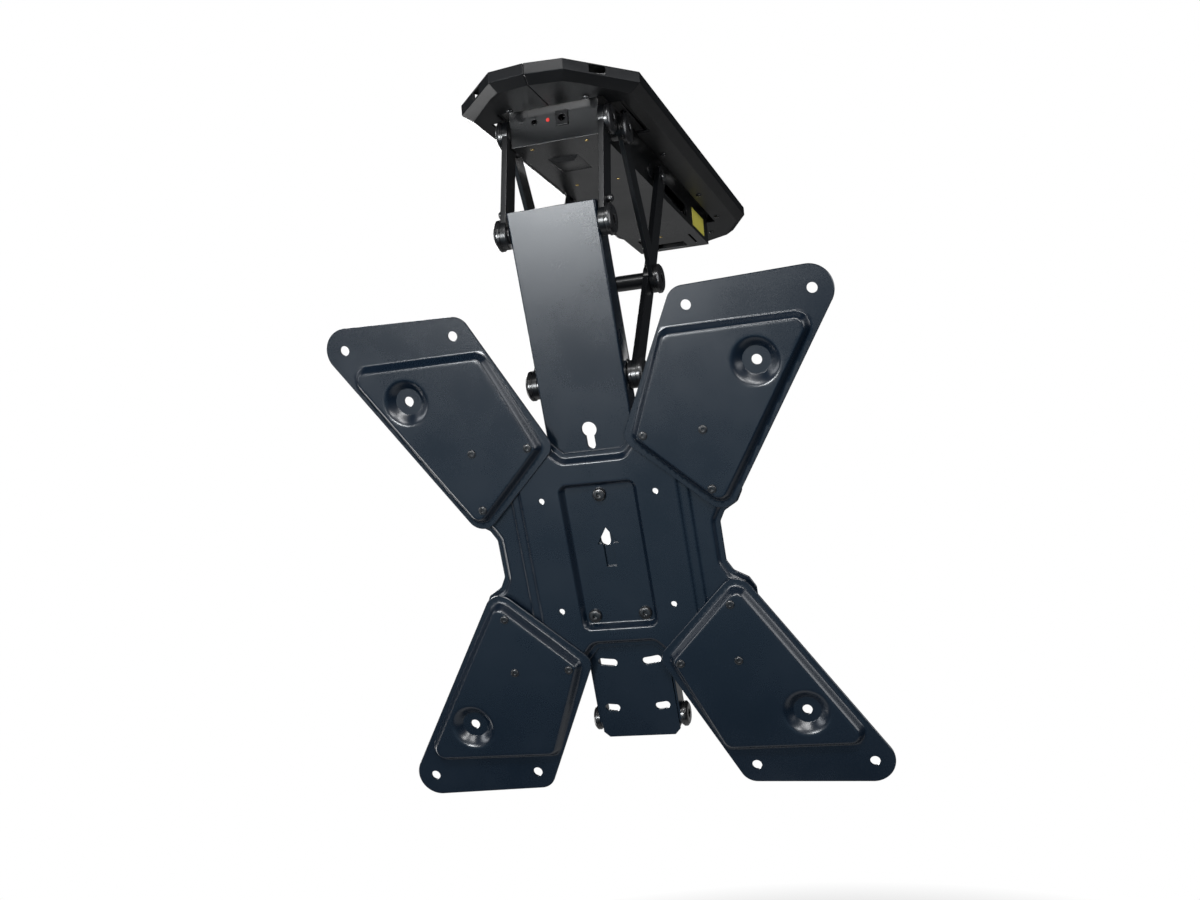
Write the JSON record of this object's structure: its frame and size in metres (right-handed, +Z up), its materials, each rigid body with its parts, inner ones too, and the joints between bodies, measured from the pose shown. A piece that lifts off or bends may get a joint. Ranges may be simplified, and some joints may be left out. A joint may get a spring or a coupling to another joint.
{
  "type": "motorized flip-down tv ceiling mount",
  "caption": "Black motorized ceiling mount: a drive housing under a long cover lowers a flat arm on paired links that carries an X-shaped pressed-steel screen plate with tilt.",
  "frame": {"origin": "centre of the ceiling bolt pattern on the top face of the ceiling plate", "axes": "+X to the right and +Y away from a viewer who faces the screen plate, +Z up towards the ceiling; drawn lowered for use"},
  "size_m": [0.434, 0.586, 0.5913],
  "materials": {
    "black_bolts": "glossy black pivot bolts and small black screws",
    "black_plastic": "black moulded sockets and housings",
    "board_green": "green circuit board",
    "brass": "dull brass",
    "bright_steel": "ground steel",
    "cover_plastic": "fine-grained black moulded plastic",
    "label_yellow": "plain yellow sticker",
    "light_red": "red light window",
    "plate_powder_coat": "blue-black powder coat, half matte",
    "steel_powder_coat": "fine-textured black powder coat, half matte"
  },
  "bodies": {
    "base": {"ceiling_plate": "steel_powder_coat", "cover_left": "cover_plastic", "cover_right": "cover_plastic", "cover_screws": "black_bolts", "motor_housing": "steel_powder_coat", "housing_screws": "black_bolts", "housing_rivets": "brass", "power_jack": "black_plastic", "remote_jack": "black_plastic", "status_light": "light_red", "control_board": "board_green", "gear_motor": "bright_steel", "gearbox": "steel_powder_coat", "screw_bearings": "steel_powder_coat", "guide_rods": "bright_steel", "limit_switches": "black_plastic", "blank_label": "label_yellow", "front_pivot_bolts": "black_bolts", "rear_pivot_bolts": "black_bolts", "rear_pivot_spacers": "black_bolts"},
    "drive_shaft": {"lead_screw": "bright_steel", "shaft_coupler": "bright_steel"},
    "carriage_slide": {"carriage": "steel_powder_coat", "drive_nut": "brass", "slider_pins": "bright_steel", "slider_clips": "black_bolts"},
    "front_links": {"front_link_left": "steel_powder_coat", "front_link_right": "steel_powder_coat", "link_stop_pins": "black_bolts"},
    "cranks": {"crank_left": "steel_powder_coat", "crank_right": "steel_powder_coat", "cross_tube": "steel_powder_coat", "middle_pivot_bolts": "black_bolts"},
    "long_arms": {"long_arm_left": "steel_powder_coat", "long_arm_right": "steel_powder_coat", "lower_pivot_bolts": "black_bolts"},
    "main_arm": {"arm_channel": "plate_powder_coat", "arm_front_cover": "plate_powder_coat", "upper_pivot_bolts": "black_bolts", "upper_pivot_spacers": "black_bolts", "tilt_pivot_bolts": "black_bolts"},
    "tilt_head": {"tilt_bracket": "plate_powder_coat"},
    "screen_plate": {"centre_plate": "plate_powder_coat", "corner_plate_upper_left": "plate_powder_coat", "corner_plate_upper_right": "plate_powder_coat", "corner_plate_lower_left": "plate_powder_coat", "corner_plate_lower_right": "plate_powder_coat", "corner_screws": "black_bolts", "corner_spacers": "black_bolts", "screen_plate_bolts": "black_bolts"}
  },
  "joints": [
    {"name": "fold", "type": "hinge", "parent": "base", "child": "cranks", "pos_m": [0, -0.191, -0.031], "axis": [1, 0, 0], "range_deg": [0, 48.5]},
    {"name": "long_arm_turn", "type": "hinge", "parent": "cranks", "child": "long_arms", "pos_m": [0, -0.11693, -0.14506], "axis": [1, 0, 0], "range_deg": [-97.5, 0.5]},
    {"name": "front_link_turn", "type": "hinge", "parent": "base", "child": "front_links", "pos_m": [0, -0.219, -0.03], "axis": [1, 0, 0], "range_deg": [-59.67, 0.5]},
    {"name": "arm_turn", "type": "hinge", "parent": "front_links", "child": "main_arm", "pos_m": [0, -0.24039, -0.12051], "axis": [1, 0, 0], "range_deg": [-0.5, 124.33]},
    {"name": "slider_turn", "type": "hinge", "parent": "long_arms", "child": "carriage_slide", "pos_m": [0, -0.04286, -0.031], "axis": [1, 0, 0], "range_deg": [-0.5, 49]},
    {"name": "screw_spin", "type": "hinge", "parent": "base", "child": "drive_shaft", "pos_m": [0, 0, -0.022], "axis": [0, 1, 0], "range_deg": [-5, 2180.67]},
    {"name": "tilt", "type": "hinge", "parent": "main_arm", "child": "tilt_head", "pos_m": [0, -0.09301, -0.52781], "axis": [1, 0, 0], "range_deg": [0, 12]},
    {"name": "level", "type": "hinge", "parent": "tilt_head", "child": "screen_plate", "pos_m": [0, -0.17152, -0.33386], "axis": [0, -0.9438, -0.3305], "range_deg": [-2, 2]}
  ],
  "couplings": [
    {"joint": "long_arm_turn", "follows": "fold", "ratio": -2},
    {"joint": "front_link_turn", "follows": "fold", "ratio": -1.22},
    {"joint": "arm_turn", "follows": "fold", "ratio": 2.5533},
    {"joint": "slider_turn", "follows": "fold", "ratio": 1},
    {"joint": "screw_spin", "follows": "fold", "ratio": 44.859}
  ]
}
